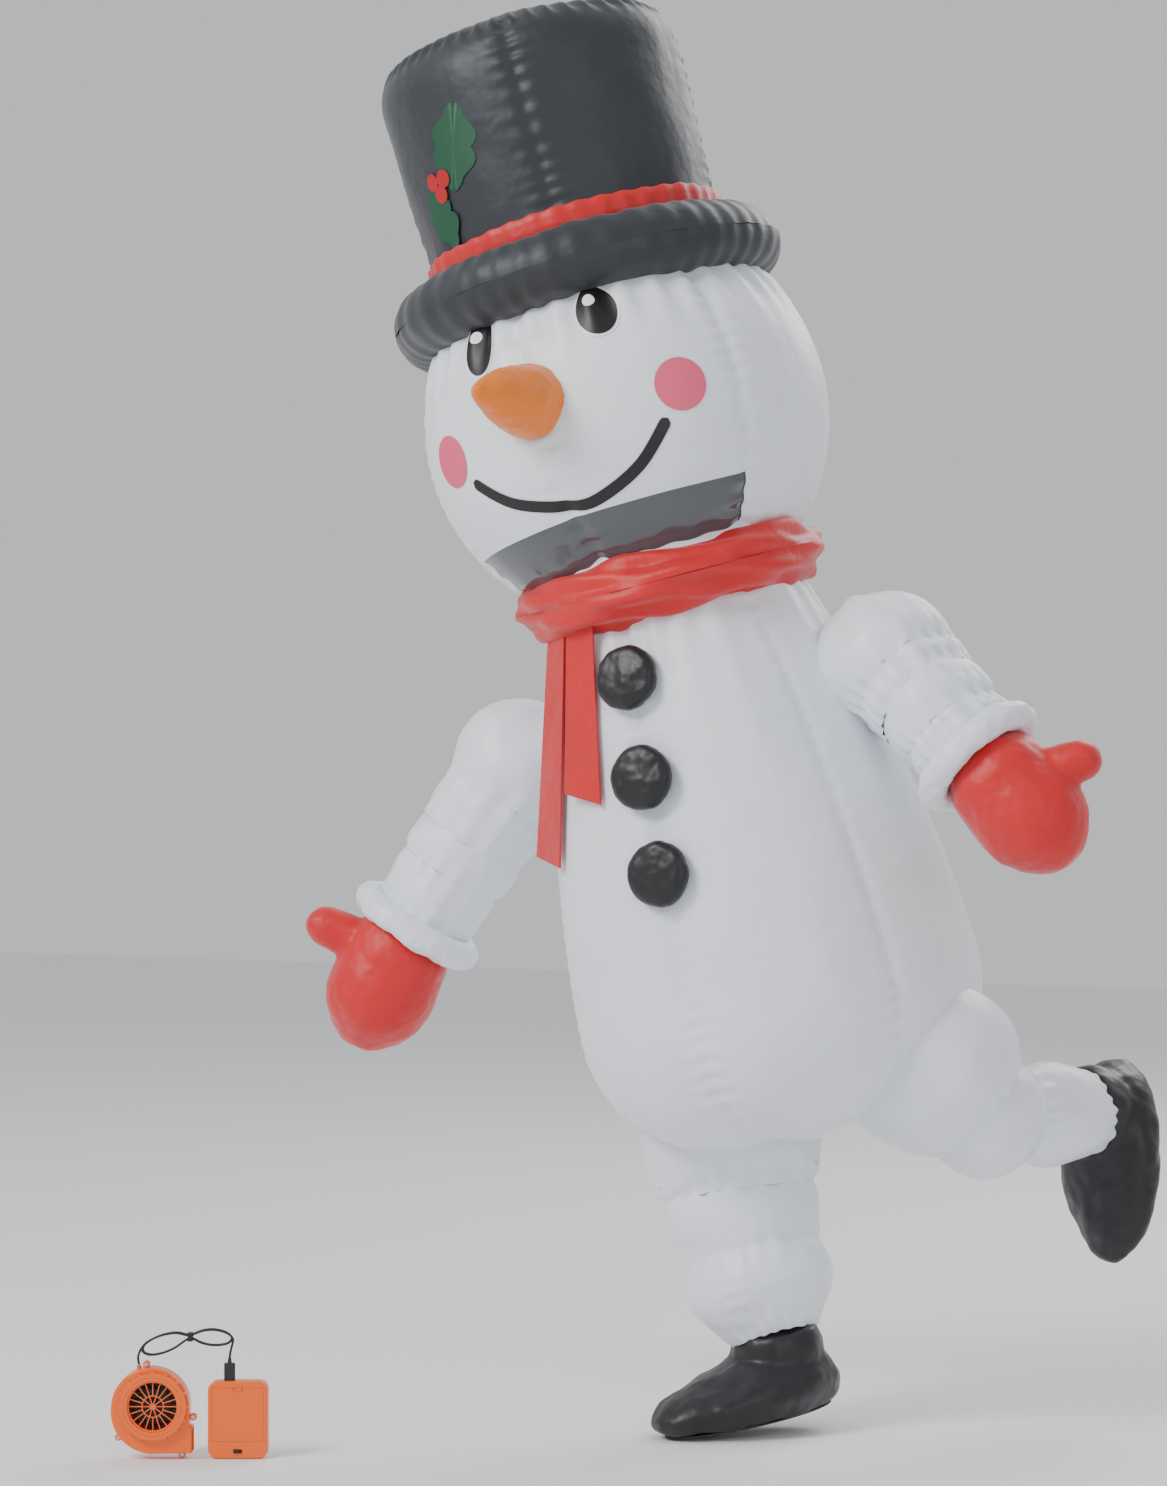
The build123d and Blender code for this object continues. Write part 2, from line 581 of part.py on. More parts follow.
with BuildPart() as housing_screws:
    for x, z in LUGS:
        with BuildSketch(Plane.XZ.offset(-LUG_DEEP)):
            with Locations((x, z)):
                Circle(SCREW_R)
        extrude(amount=2 * LUG_DEEP)
        with BuildSketch(Plane.XZ.offset(LUG_DEEP)):
            with Locations((x, z)):
                Circle(SCREW_HEAD_R)
        extrude(amount=1.8)
        with BuildSketch(Plane.XZ.offset(LUG_DEEP + 1)):
            with Locations((x, z)):
                Rectangle(3.4, 0.8)
                Rectangle(0.8, 3.4)
        extrude(amount=0.8, mode=Mode.SUBTRACT)
set_beside(housing_screws, "housing_screws")

# battery box, standing on its foot with its lid to the front
BOX_MID = BOX_HIGH / 2 - FAN_HIGH
LID_MID = BOX_HIGH - LID_DROP - LID_HIGH / 2 - FAN_HIGH
with BuildPart() as battery_case:
    with BuildSketch(Plane.XZ.offset(-BOX_DEEP / 2)):
        with Locations((BOX_X, BOX_MID)):
            RectangleRounded(BOX_WIDE, BOX_HIGH, BOX_ROUND)
    extrude(amount=BOX_DEEP)
    fillet(battery_case.faces().sort_by(Axis.Y)[0].edges(), 3)
    fillet(battery_case.faces().sort_by(Axis.Y)[-1].edges(), 3)
    with BuildSketch(Plane.XZ.offset(-BOX_DEEP / 2 + BOX_WALL)):
        with Locations((BOX_X, BOX_MID)):
            RectangleRounded(BOX_WIDE - 2 * BOX_WALL, BOX_HIGH - 2 * BOX_WALL, BOX_ROUND - BOX_WALL)
    extrude(amount=BOX_DEEP - 2 * BOX_WALL, mode=Mode.SUBTRACT)
    with Locations((BOX_X, -BOX_DEEP / 2, LID_MID)):
        Box(LID_WIDE + 2 * SLIP, 3 * BOX_WALL, LID_HIGH + 2 * SLIP, mode=Mode.SUBTRACT)
    with Locations((BOX_X, -BOX_DEEP / 2, SWITCH_RISE - FAN_HIGH)):
        Box(SWITCH_SLOT, 3 * BOX_WALL, SWITCH_TALL, mode=Mode.SUBTRACT)
    with Locations((PLUG_X, 0, BOX_HIGH - FAN_HIGH)):
        Box(SHELL_WIDE + 2 * SHELL_ROOM, SHELL_TALL + 2 * SHELL_ROOM, 3 * BOX_WALL, mode=Mode.SUBTRACT)
    for rise in (CELL_FOOT - 1, CELL_FOOT + CELL_LONG + 1):
        with Locations((BOX_X, 0, rise - FAN_HIGH)):
            Box(4 * CELL_R * 2 + 4, BOX_DEEP - 2 * BOX_WALL, 1.4)
set_beside(battery_case, "battery_case")

with BuildPart() as battery_lid:
    with BuildSketch(Plane.XZ.offset(BOX_DEEP / 2 - BOX_WALL)):
        with Locations((BOX_X, LID_MID)):
            Rectangle(LID_WIDE, LID_HIGH)
        with Locations((BOX_X, LID_MID + LID_HIGH / 2 - 2.5)):
            with Locations((-6.5, 0), (6.5, 0)):
                Rectangle(0.8, 5, mode=Mode.SUBTRACT)
    extrude(amount=BOX_WALL)
    with Locations((BOX_X, -BOX_DEEP / 2 - 0.5, LID_MID + LID_HIGH / 2 - 3)):
        Box(9, 1, 2)
set_beside(battery_lid, "battery_lid")

with BuildPart() as slide_switch:
    with Locations((BOX_X - SWITCH_TRAVEL / 2, -BOX_DEEP / 2, SWITCH_RISE - FAN_HIGH)):
        Box(SWITCH_SLOT - SWITCH_TRAVEL - 1, 2 * BOX_WALL + 1.6, SWITCH_TALL - 0.6)
    with Locations((BOX_X - SWITCH_TRAVEL / 2, -BOX_DEEP / 2 + BOX_WALL + 1, SWITCH_RISE - FAN_HIGH)):
        Box(SWITCH_SLOT + 4, 1.6, SWITCH_TALL + 3)
set_beside(slide_switch, "slide_switch")

with BuildPart() as battery_cells:
    with Locations((BOX_X, 0, CELL_FOOT + CELL_LONG / 2 - FAN_HIGH)):
        with GridLocations(2 * CELL_R + 0.3, 1, 4, 1):
            Cylinder(CELL_R, CELL_LONG - 1.5)
            Cylinder(CELL_R * 0.38, CELL_LONG - 0.4)
set_beside(battery_cells, "battery_cells")

# ---- lead: out of the blower, through the tied hank, into the plug on the box ----
PLUG_FOOT = BOX_HIGH + 0.2 - FAN_HIGH
with BuildPart() as usb_plug:
    with BuildSketch(Plane.XY.offset(PLUG_FOOT)):
        with Locations((PLUG_X, 0)):
            RectangleRounded(PLUG_WIDE, PLUG_THICK, 2.4)
    extrude(amount=PLUG_LONG)
    fillet(usb_plug.edges().group_by(Axis.Z)[-1], 1.5)
    with Locations((PLUG_X, 0, PLUG_FOOT + PLUG_LONG - 0.5)):
        Cone(3.3, CORD_R + 0.5, RELIEF_LONG + 0.5, align=(Align.CENTER, Align.CENTER, Align.MIN))
set_beside(usb_plug, "usb_plug")
with BuildPart() as usb_plug_shell:
    with Locations((PLUG_X, 0, PLUG_FOOT)):
        Box(SHELL_WIDE, SHELL_TALL, SHELL_LONG, align=(Align.CENTER, Align.CENTER, Align.MAX))
        Box(SHELL_WIDE - 0.8, SHELL_TALL - 0.8, SHELL_LONG - 1, mode=Mode.SUBTRACT,
            align=(Align.CENTER, Align.CENTER, Align.MAX))
set_beside(usb_plug_shell, "usb_plug_shell")


def lead(label, points):
    """Plain tube of cord along a hand-set route, with the largest arcs its runs allow."""
    spots = [Vector(*p) for p in points]
    radii = []
    for before, here, after in zip(spots, spots[1:], spots[2:]):
        turn = math.radians((here - before).get_angle(after - here))
        radii.append(0.45 * min((here - before).length, (after - here).length) / math.tan(turn / 2))
    print(label, "radii", [round(r, 1) for r in radii])
    with BuildPart() as cord:
        with BuildLine() as route:
            FilletPolyline(*spots, radius=radii)
        with BuildSketch(Plane(origin=spots[0], z_dir=spots[1] - spots[0])):
            Circle(CORD_R)
        sweep()
    print(label, "length", round(sum(edge.length for edge in route.edges()), 1))
    set_beside(cord, label)


lead("cord_fan_lead", FAN_LEAD)
lead("cord_plug_lead", PLUG_LEAD)
with BuildPart() as cord_hank:
    with BuildSketch(Plane.XZ.offset(-HANK_THICK / 2)):
        for x, z, long, tall, turn in HANK_LOBES:
            with Locations((x, z)):
                Ellipse(long, tall, rotation=turn)
        with Locations((HANK_TIE[0], HANK_TIE[1])):
            Rectangle(22, 2 * HANK_WAIST)
    extrude(amount=HANK_THICK)
    with Locations((HANK_TIE[0], 0, HANK_TIE[1])):
        Box(TIE_WIDE + 0.2, HANK_THICK + 2, 60, mode=Mode.SUBTRACT)
        Box(TIE_WIDE + 0.6, HANK_THICK - 1.4, 2 * HANK_WAIST)
set_beside(cord_hank, "cord_hank")
with BuildPart() as hank_tie:
    with Locations((HANK_TIE[0], 0, HANK_TIE[1])):
        Box(TIE_WIDE, HANK_THICK + 1.6, 2 * HANK_WAIST + 3)
        fillet(hank_tie.edges().filter_by(Axis.X), 2)
        Box(TIE_WIDE, HANK_THICK - 1, 2 * HANK_WAIST + 0.4, mode=Mode.SUBTRACT)
set_beside(hank_tie, "hank_tie")
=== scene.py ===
"""Soft covers, prints, finishes, light and camera for the inflatable snowman, over its CAD frame."""
import math

import bpy
from mathutils import Matrix, Vector, noise


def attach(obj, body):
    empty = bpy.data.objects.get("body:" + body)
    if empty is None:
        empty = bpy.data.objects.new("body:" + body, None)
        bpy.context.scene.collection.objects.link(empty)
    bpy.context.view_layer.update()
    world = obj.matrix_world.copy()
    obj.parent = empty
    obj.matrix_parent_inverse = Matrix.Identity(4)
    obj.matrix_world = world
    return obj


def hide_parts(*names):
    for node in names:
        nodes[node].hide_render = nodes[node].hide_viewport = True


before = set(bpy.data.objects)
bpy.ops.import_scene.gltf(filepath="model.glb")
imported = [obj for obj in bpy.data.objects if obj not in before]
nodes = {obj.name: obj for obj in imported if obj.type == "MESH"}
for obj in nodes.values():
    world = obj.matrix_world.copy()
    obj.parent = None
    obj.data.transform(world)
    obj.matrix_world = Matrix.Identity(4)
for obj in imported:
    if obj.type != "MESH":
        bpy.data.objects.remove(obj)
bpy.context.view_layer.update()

MM = 0.001
PLACE = Vector((90.618364, 98.408984, 0)) * MM
TURN = math.radians(25)


# ---- frames of the figure, as in the part's own source ----
def leaning(origin, lean, pitch):
    """Matrix whose Z runs up a body that leans to its right and pitches forward."""
    turn = Matrix.Rotation(math.radians(-lean), 4, "Y") @ Matrix.Rotation(math.radians(pitch), 4, "X")
    up = turn @ Vector((0, 0, 1))
    side = Matrix.Rotation(math.radians(-lean), 4, "Y") @ Vector((1, 0, 0))
    back = up.cross(side)
    place = Matrix((side, back, up)).transposed().to_4x4()
    place.translation = origin
    return place


NECK = Vector((-117, -44, 1268)) * MM + PLACE
TRUNK = leaning(NECK, 13, 6.5)
HEAD = leaning(leaning(NECK, 16.8, 1) @ Vector((0, 0, 0.255)), 16.8, 1)
HEAD_R = 0.303


def at(x, y, z):
    return Vector((x, y, z)) * MM + PLACE


def on_trunk_frame(x, y, z):
    return TRUNK @ (Vector((x, y, z)) * MM)


JOINTS = {
    "shoulder": {"left": on_trunk_frame(305, 15, -185), "right": on_trunk_frame(-325, 0, -210)},
    "elbow": {"left": at(310, -33, 1083), "right": at(-468, -47, 863)},
    "wrist": {"left": at(423, -46, 974), "right": at(-570, -78, 697)},
    "hip": {"left": on_trunk_frame(215, 0, -790), "right": on_trunk_frame(-137, 0, -835)},
    "knee": {"left": at(336, 90, 474), "right": at(-38, 40, 318)},
    "ankle": {"left": at(411, 335, 464), "right": at(31, 15, 119)},
}


# ---- materials ----
def socket(shader, name, value):
    shader.inputs[name].default_value = value


def finish(name, colour, roughness, weave=0.0, weave_size=900.0, crease=0.0, crease_size=9.0,
           metallic=0.0, sheen=0.0, subsurface=0.0, coat=0.0, mottle=0.03):
    """Surface with a slight mottle, creases and a fine weave, all set in the object's own space."""
    material = bpy.data.materials.new(name)
    material.use_nodes = True
    tree = material.node_tree
    shader = tree.nodes["Principled BSDF"]
    place = tree.nodes.new("ShaderNodeTexCoord")
    patches = tree.nodes.new("ShaderNodeTexNoise")
    patches.inputs["Scale"].default_value = 14
    patches.inputs["Detail"].default_value = 4
    ramp = tree.nodes.new("ShaderNodeMix")
    ramp.data_type = "RGBA"
    dark = [c * (1 - mottle * 2.2) for c in colour]
    light = [min(1, c * (1 + mottle)) for c in colour]
    ramp.inputs["A"].default_value = (*dark, 1)
    ramp.inputs["B"].default_value = (*light, 1)
    tree.links.new(place.outputs["Object"], patches.inputs["Vector"])
    tree.links.new(patches.outputs["Fac"], ramp.inputs["Factor"])
    tree.links.new(ramp.outputs["Result"], shader.inputs["Base Color"])
    socket(shader, "Roughness", roughness)
    socket(shader, "Metallic", metallic)
    socket(shader, "Sheen Weight", sheen)
    socket(shader, "Subsurface Weight", subsurface)
    socket(shader, "Subsurface Radius", (0.02, 0.02, 0.025))
    socket(shader, "Coat Weight", coat)
    last = None
    for strength, size, detail, distance in ((crease, crease_size, 3, 0.012), (weave, weave_size, 1, 0.0004)):
        if not strength:
            continue
        grain = tree.nodes.new("ShaderNodeTexNoise")
        grain.inputs["Scale"].default_value = size
        grain.inputs["Detail"].default_value = detail
        bump = tree.nodes.new("ShaderNodeBump")
        bump.inputs["Strength"].default_value = strength
        bump.inputs["Distance"].default_value = distance
        tree.links.new(place.outputs["Object"], grain.inputs["Vector"])
        tree.links.new(grain.outputs["Fac"], bump.inputs["Height"])
        if last:
            tree.links.new(last.outputs["Normal"], bump.inputs["Normal"])
        last = bump
    if last:
        tree.links.new(last.outputs["Normal"], shader.inputs["Normal"])
    return material


white_cloth = finish("snow white polyester", (0.82, 0.86, 0.92), 0.42, 0.15, 700, 0.5, 11,
                     sheen=0.15, subsurface=0.12)
hat_cloth = finish("charcoal polyester", (0.014, 0.018, 0.024), 0.5, 0.2, 700, 0.55, 12, sheen=0.2)
red_cloth = finish("scarlet polyester", (0.62, 0.004, 0.006), 0.5, 0.2, 700, 0.6, 14, sheen=0.2)
black_cloth = finish("black polyester", (0.006, 0.006, 0.008), 0.42, 0.2, 700, 0.5, 14, sheen=0.1)
carrot_cloth = finish("carrot polyester", (0.90, 0.20, 0.002), 0.5, 0.2, 700, 0.5, 18, sheen=0.15)
orange_shell = finish("orange moulding", (0.90, 0.13, 0.002), 0.32, 0.06, 500, coat=0.25, mottle=0.01)
black_shell = finish("black moulding", (0.015, 0.015, 0.016), 0.4, 0.06, 600, mottle=0.02)
screw_steel = finish("plated steel", (0.55, 0.55, 0.57), 0.3, metallic=1.0)
lead_rubber = finish("soft black lead", (0.01, 0.01, 0.011), 0.45, 0.1, 900)
eye_print = finish("black print", (0.006, 0.006, 0.007), 0.4, 0.1, 700)
white_print = finish("white print", (0.92, 0.93, 0.95), 0.45, 0.1, 700)
cheek_print = finish("pink print", (0.80, 0.10, 0.19), 0.5, 0.1, 700)
leaf_print = finish("leaf green print", (0.006, 0.07, 0.03), 0.5, 0.15, 700)
berry_print = finish("berry red print", (0.45, 0.006, 0.008), 0.45, 0.1, 700)
sole_sheet = finish("sole sheet", (0.03, 0.03, 0.032), 0.7, 0.3, 300)
cell_wrap = finish("cell sleeve", (0.03, 0.10, 0.05), 0.3)
window_film = finish("clear vinyl", (0.16, 0.18, 0.20), 0.12, crease=0.4, crease_size=7, coat=0.5)
window_film.node_tree.nodes["Principled BSDF"].inputs["Transmission Weight"].default_value = 0.55


# ---- making meshes ----
def piece(name, points, faces, material, smooth=True):
    mesh = bpy.data.meshes.new(name)
    mesh.from_pydata([tuple(p) for p in points], [], faces)
    mesh.materials.append(material)
    for face in mesh.polygons:
        face.use_smooth = smooth
    mesh.update()
    made = bpy.data.objects.new(name, mesh)
    bpy.context.scene.collection.objects.link(made)
    return made


def turned(name, base, outline, material, around=180, stand=None, keep=None):
    """Skin turned about a frame's Z. stand(angle, share, radius, height) lifts it off the outline."""
    points, faces = [], []
    for row, (radius, height) in enumerate(outline):
        share = row / (len(outline) - 1)
        for step in range(around):
            angle = math.tau * step / around
            lift = stand(angle, share, radius, height) if stand else 0
            before = outline[max(row - 1, 0)]
            after = outline[min(row + 1, len(outline) - 1)]
            run = Vector((after[0] - before[0], after[1] - before[1])).normalized()
            r, z = radius - run.y * lift, height + run.x * lift
            points.append(base @ Vector((r * math.sin(angle), -r * math.cos(angle), z)))
    for row in range(len(outline) - 1):
        for step in range(around):
            ahead = (step + 1) % around
            middle = (outline[row][1] + outline[row + 1][1]) / 2
            if keep and not keep(math.tau * (step + 0.5) / around, middle):
                continue
            faces.append((row * around + step, (row + 1) * around + step,
                          (row + 1) * around + ahead, row * around + ahead))
    return piece(name, points, faces, material)


def smooth_line(corners, count):
    """Points of a Catmull-Rom line through corners."""
    found = []
    ends = [corners[0]] + list(corners) + [corners[-1]]
    spans = len(corners) - 1
    for step in range(count):
        place = spans * step / (count - 1)
        k = min(int(place), spans - 1)
        t = place - k
        a, b, c, d = (Vector(p) for p in ends[k:k + 4])
        square = (2 * a - 5 * b + 4 * c - d) * t * t
        cube = (3 * b - a - 3 * c + d) * t ** 3
        found.append(0.5 * (2 * b + (c - a) * t + square + cube))
    return [tuple(p) for p in found]


def bell(distance, spread):
    """Falls from 1 at no distance to near 0 past the spread."""
    return math.exp(-(distance / spread) ** 2)


def unevenness(angle, height, across, along):
    """Slow swell of a turned skin, the same on both sides of its start."""
    return noise.noise(Vector((math.sin(angle) * across, math.cos(angle) * across, height * along)))


def tube_outline(radius, height, half_wide, half_tall, count):
    """Closed section of a stuffed ring, about its own middle."""
    return [(radius + half_wide * math.cos(t), height + half_tall * math.sin(t))
            for t in [math.tau * k / count for k in range(count + 1)]]


def turn_between(a, b):
    return abs((a - b + math.pi) % math.tau - math.pi)


def seam_gather(angle, radius, along, seams, depth=0.0035, pleat=0.026, reach=0.03, seed=0.0):
    """Fabric drawn in at its seams, with short pleats across each of them."""
    lift = 0.0
    for number, seam in enumerate(seams):
        gap = turn_between(angle, seam) * radius
        lift -= depth * bell(gap, SEAM_WIDE)
        wobble = noise.noise(Vector((along * 9, number * 3.1, seed)))
        lift += 0.42 * depth * math.sin(math.tau * along / pleat + 6 * wobble) * bell(gap, reach)
    return lift


SEAMS = [math.radians(a) for a in (0, 60, 130, 180, 230, 300)]
SEAM_WIDE = 0.011


def trunk_stand(angle, share, radius, height):
    puff = 0.008 * min(1, min(turn_between(angle, s) for s in SEAMS) * 3)
    soft = 0.006 * unevenness(angle, height, 2, 5)
    scarf_folds = 0.004 * math.sin(angle * 26 + 3 * math.sin(angle * 3)) * bell(share, 0.13)
    hip_folds = 0.005 * math.sin(height * 150 + angle * 4) * bell(share - 0.93, 0.08)
    under_tails = 0.012 * bell(turn_between(angle, math.radians(-27)), 0.5) * bell(height + 0.22, 0.16)
    gathers = seam_gather(angle, radius, height, SEAMS)
    return puff + soft + scarf_folds + hip_folds - under_tails + gathers


trunk_outline = smooth_line(
    [(0.172, -0.012), (0.188, -0.040), (0.224, -0.152), (0.252, -0.270), (0.274, -0.389),
     (0.290, -0.509), (0.300, -0.630), (0.294, -0.690), (0.272, -0.745),
     (0.236, -0.789), (0.190, -0.815), (0.1, -0.836), (0.004, -0.846)], 210)
trunk_skin = turned("trunk_skin", TRUNK, trunk_outline, white_cloth, 300, trunk_stand)
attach(trunk_skin, "figure")
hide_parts(*[n for n in nodes if n.startswith("trunk_")])


# ---- head, with the opening for the clear window ----
HEAD_UNDER_BRIM, HEAD_SPAN, HEAD_ROWS = math.radians(40), math.radians(98), 136
WINDOW_TOP = -0.150
WINDOW_HALF, WINDOW_LAP = math.radians(59.5), math.radians(61)


def head_stand(angle, share, radius, height):
    puff = 0.004 * min(1, min(turn_between(angle, s) for s in SEAMS) * 3)
    low_folds = 0.003 * math.sin(angle * 30 + 2 * math.sin(angle * 4)) * bell(share - 1, 0.12)
    brim_folds = 0.004 * math.sin(angle * 34) * bell(share - 0.12, 0.1)
    return puff + low_folds + brim_folds + seam_gather(angle, radius, height, SEAMS, 0.004)


def head_radius(angle, rise):
    radius, height = HEAD_R * math.cos(rise), HEAD_R * math.sin(rise)
    share = (HEAD_UNDER_BRIM - rise) / HEAD_SPAN
    return HEAD_R + head_stand(angle, share, radius, height)


head_outline = [(HEAD_R * math.cos(t), HEAD_R * math.sin(t))
                for t in [HEAD_UNDER_BRIM - HEAD_SPAN * k / HEAD_ROWS for k in range(HEAD_ROWS + 1)]]
head_skin = turned("head_skin", HEAD, head_outline, white_cloth, 300, head_stand,
                   keep=lambda a, z: not (turn_between(a, 0) < WINDOW_HALF and z < WINDOW_TOP))
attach(head_skin, "head")
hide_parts(*[n for n in nodes if n.startswith("head_")])
window = turned("face_window_film", HEAD, head_outline, window_film, 300,
                lambda a, s, r, z: head_stand(a, s, r, z) - 0.0015,
                keep=lambda a, z: turn_between(a, 0) < WINDOW_LAP and z < WINDOW_TOP + 0.006)
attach(window, "head")
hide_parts("face_window")


def on_face(angle, rise, lift=0.0):
    radius = head_radius(angle, rise) + lift
    across = math.cos(rise)
    way = Vector((math.sin(angle) * across, -math.cos(angle) * across, math.sin(rise)))
    return HEAD @ (way * radius)


def face_patch(name, azimuth, rise, half_wide, half_tall, material, lift=0.0012, turn=0.0):
    """Oval print that follows the head's skin."""
    azimuth, rise = math.radians(azimuth), math.radians(rise)
    rings, around = 10, 56
    points, faces = [on_face(azimuth, rise, lift)], []
    for ring in range(1, rings + 1):
        for step in range(around):
            t = math.tau * step / around
            x, y = half_wide * ring / rings * math.cos(t), half_tall * ring / rings * math.sin(t)
            x, y = x * math.cos(turn) - y * math.sin(turn), x * math.sin(turn) + y * math.cos(turn)
            points.append(on_face(azimuth + x / HEAD_R / math.cos(rise), rise + y / HEAD_R, lift))
    for step in range(around):
        ahead = (step + 1) % around
        faces.append((0, 1 + step, 1 + ahead))
        for ring in range(rings - 1):
            a, b = 1 + ring * around, 1 + (ring + 1) * around
            faces.append((a + step, b + step, b + ahead, a + ahead))
    made = piece(name, points, faces, material)
    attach(made, "head")
    return made


def face_stroke(name, spots, half, material, lift=0.0012):
    """Printed stroke with round ends through directions on the head's skin."""
    line = smooth_line([(math.radians(a), math.radians(e)) for a, e in spots], 60)
    points, faces = [], []
    for k, here in enumerate(line):
        before, after = Vector(line[max(k - 1, 0)]), Vector(line[min(k + 1, len(line) - 1)])
        run = (after - before).normalized()
        end = min(k, len(line) - 1 - k) * (Vector(line[1]) - Vector(line[0])).length
        wide = half * math.sqrt(max(0.02, 1 - max(0, 1 - end * HEAD_R / half) ** 2)) / HEAD_R
        for side in (-1, -0.33, 0.33, 1):
            spot = Vector(here) + Vector((-run.y, run.x)) * wide * side
            points.append(on_face(spot.x, spot.y, lift))
    for k in range(len(line) - 1):
        for j in range(3):
            faces.append((4 * k + j, 4 * k + j + 1, 4 * k + j + 5, 4 * k + j + 4))
    made = piece(name, points, faces, material)
    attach(made, "head")
    return made


EYES = (("right", -15.0, 26.0, 0.024, 0.046), ("left", 25.2, 25.0, 0.030, 0.042))
SMILE = [(-27.3, -9.9), (-15.8, -20.0), (0, -26.0), (10.4, -26.6), (25.2, -20.8), (36.2, -10.3)]
for label, azimuth, rise, wide, tall in EYES:
    face_patch(f"eye_outline_{label}", azimuth, rise, wide + 0.004, tall + 0.004, white_print, 0.0010)
    face_patch(f"eye_{label}", azimuth, rise, wide, tall, eye_print, 0.0018)
    face_patch(f"eye_glint_{label}", azimuth - 1.5, rise + 3.0, 0.009, 0.010, white_print, 0.0026)
face_patch("cheek_left", 42.2, -2.0, 0.039, 0.039, cheek_print)
face_patch("cheek_right", -34.3, -2.0, 0.039, 0.039, cheek_print)
face_stroke("smile", SMILE, 0.009, eye_print)


# ---- hat: brim, crown and band ----
def brim_stand(angle, share, radius, height):
    pleats = 0.0011 * math.sin(angle * 44 + 2 * math.sin(angle * 5))
    return pleats + 0.004 * unevenness(angle, share, 3, 4)


brim_outline = tube_outline(0.246, 0.215, 0.054, 0.054, 40)
brim = turned("hat_brim", HEAD, brim_outline[::-1], hat_cloth, 300, brim_stand)
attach(brim, "head")
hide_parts("hat_brim")


CROWN_RIM = 0.36


def crown_stand(angle, share, radius, height):
    seams = [math.radians(a) for a in (20, 110, 200, 290)]
    foot = 0.004 * math.sin(angle * 40) * bell(share - 1, 0.08)
    rim = 0.004 * math.sin(angle * 46 + 2 * math.sin(angle * 3)) * bell(share - CROWN_RIM, 0.06)
    soft = 0.005 * unevenness(angle, height, 2.5, 7)
    gathers = seam_gather(angle, radius, height, seams, 0.004) if share > CROWN_RIM else 0
    return foot + rim + soft + gathers


crown_outline = smooth_line(
    [(0.002, 0.618), (0.09, 0.620), (0.16, 0.616), (0.205, 0.598), (0.228, 0.562), (0.231, 0.50),
     (0.226, 0.39), (0.221, 0.30), (0.219, 0.262)], 130)
crown = turned("hat_crown", HEAD, crown_outline, hat_cloth, 260, crown_stand)
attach(crown, "head")
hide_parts("hat_crown_wall", "hat_crown_top")
band_outline = [(0.2245, 0.3005), (0.2265, 0.299), (0.2265, 0.290), (0.2262, 0.280),
                (0.2258, 0.268), (0.224, 0.2655)]
band = turned("hat_band", HEAD, band_outline, red_cloth, 260,
              lambda a, s, r, z: 0.002 + 0.0012 * math.sin(a * 40) + 0.004 * unevenness(a, z, 2.5, 7))
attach(band, "head")
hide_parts("hat_band")


def crown_patch(name, azimuth, height, shape, material, lift):
    """Print on the crown's wall. shape gives points in metres, across and up."""
    azimuth = math.radians(azimuth)
    centre = Vector((sum(p[0] for p in shape) / len(shape), sum(p[1] for p in shape) / len(shape)))
    rings = 8
    points, faces = [], []

    def place(x, y):
        z = height + y
        radius = 0.220 + (z - 0.263) * 0.0334
        a = azimuth + x / radius
        share = CROWN_RIM + (1 - CROWN_RIM) * (0.56 - z) / 0.30
        out = radius + crown_stand(a, share, radius, z) + lift
        return HEAD @ Vector((out * math.sin(a), -out * math.cos(a), z))

    points.append(place(*centre))
    for ring in range(1, rings + 1):
        for x, y in shape:
            spot = centre + (Vector((x, y)) - centre) * ring / rings
            points.append(place(*spot))
    count = len(shape)
    for step in range(count):
        ahead = (step + 1) % count
        faces.append((0, 1 + step, 1 + ahead))
        for ring in range(rings - 1):
            a, b = 1 + ring * count, 1 + (ring + 1) * count
            faces.append((a + step, b + step, b + ahead, a + ahead))
    made = piece(name, points, faces, material)
    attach(made, "head")
    return made


def holly_leaf(long, wide, turn):
    """Outline of a leaf with three points down each side."""
    edge = []
    for side in (1, -1):
        for k in range(25):
            t = k / 24 if side > 0 else 1 - k / 24
            body = math.sin(math.pi * t) ** 0.8
            spike = 0.72 + 0.28 * abs(math.cos(math.pi * 3 * t))
            edge.append((side * wide / 2 * body * spike, (t - 0.5) * long))
    c, s = math.cos(turn), math.sin(turn)
    return [(x * c - y * s, x * s + y * c) for x, y in edge]


def disc(radius, x=0.0, y=0.0):
    turns = [math.tau * k / 32 for k in range(32)]
    return [(x + radius * math.cos(t), y + radius * math.sin(t)) for t in turns]


crown_patch("upper_holly_leaf", -11.7, 0.440, holly_leaf(0.135, 0.088, -0.35), leaf_print, 0.0035)
crown_patch("lower_holly_leaf", -28.2, 0.348, holly_leaf(0.105, 0.066, 0.25), leaf_print, 0.0045)
for number, (x, y) in enumerate(((-0.012, 0.008), (0.014, 0.006), (0.0, -0.014))):
    crown_patch(f"holly_berry_{number + 1}", -24.4, 0.396, disc(0.0135, x, y), berry_print, 0.0055)


# ---- scarf ----
def scarf_stand(angle, share, radius, height):
    round_tube = share * math.tau
    wrap = math.sin(3 * angle + 2 * round_tube)
    folds = 0.0045 * math.sin(5 * round_tube + 4 * angle) + 0.003 * math.sin(9 * round_tube - 7 * angle)
    return folds + 0.003 * wrap + 0.004 * unevenness(angle, share, 4, 5)


scarf_outline = tube_outline(0.184, 0.010, 0.050, 0.050, 60)
scarf = turned("scarf_ring", TRUNK, scarf_outline[::-1], red_cloth, 300, scarf_stand)
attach(scarf, "figure")
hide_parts("scarf_ring")


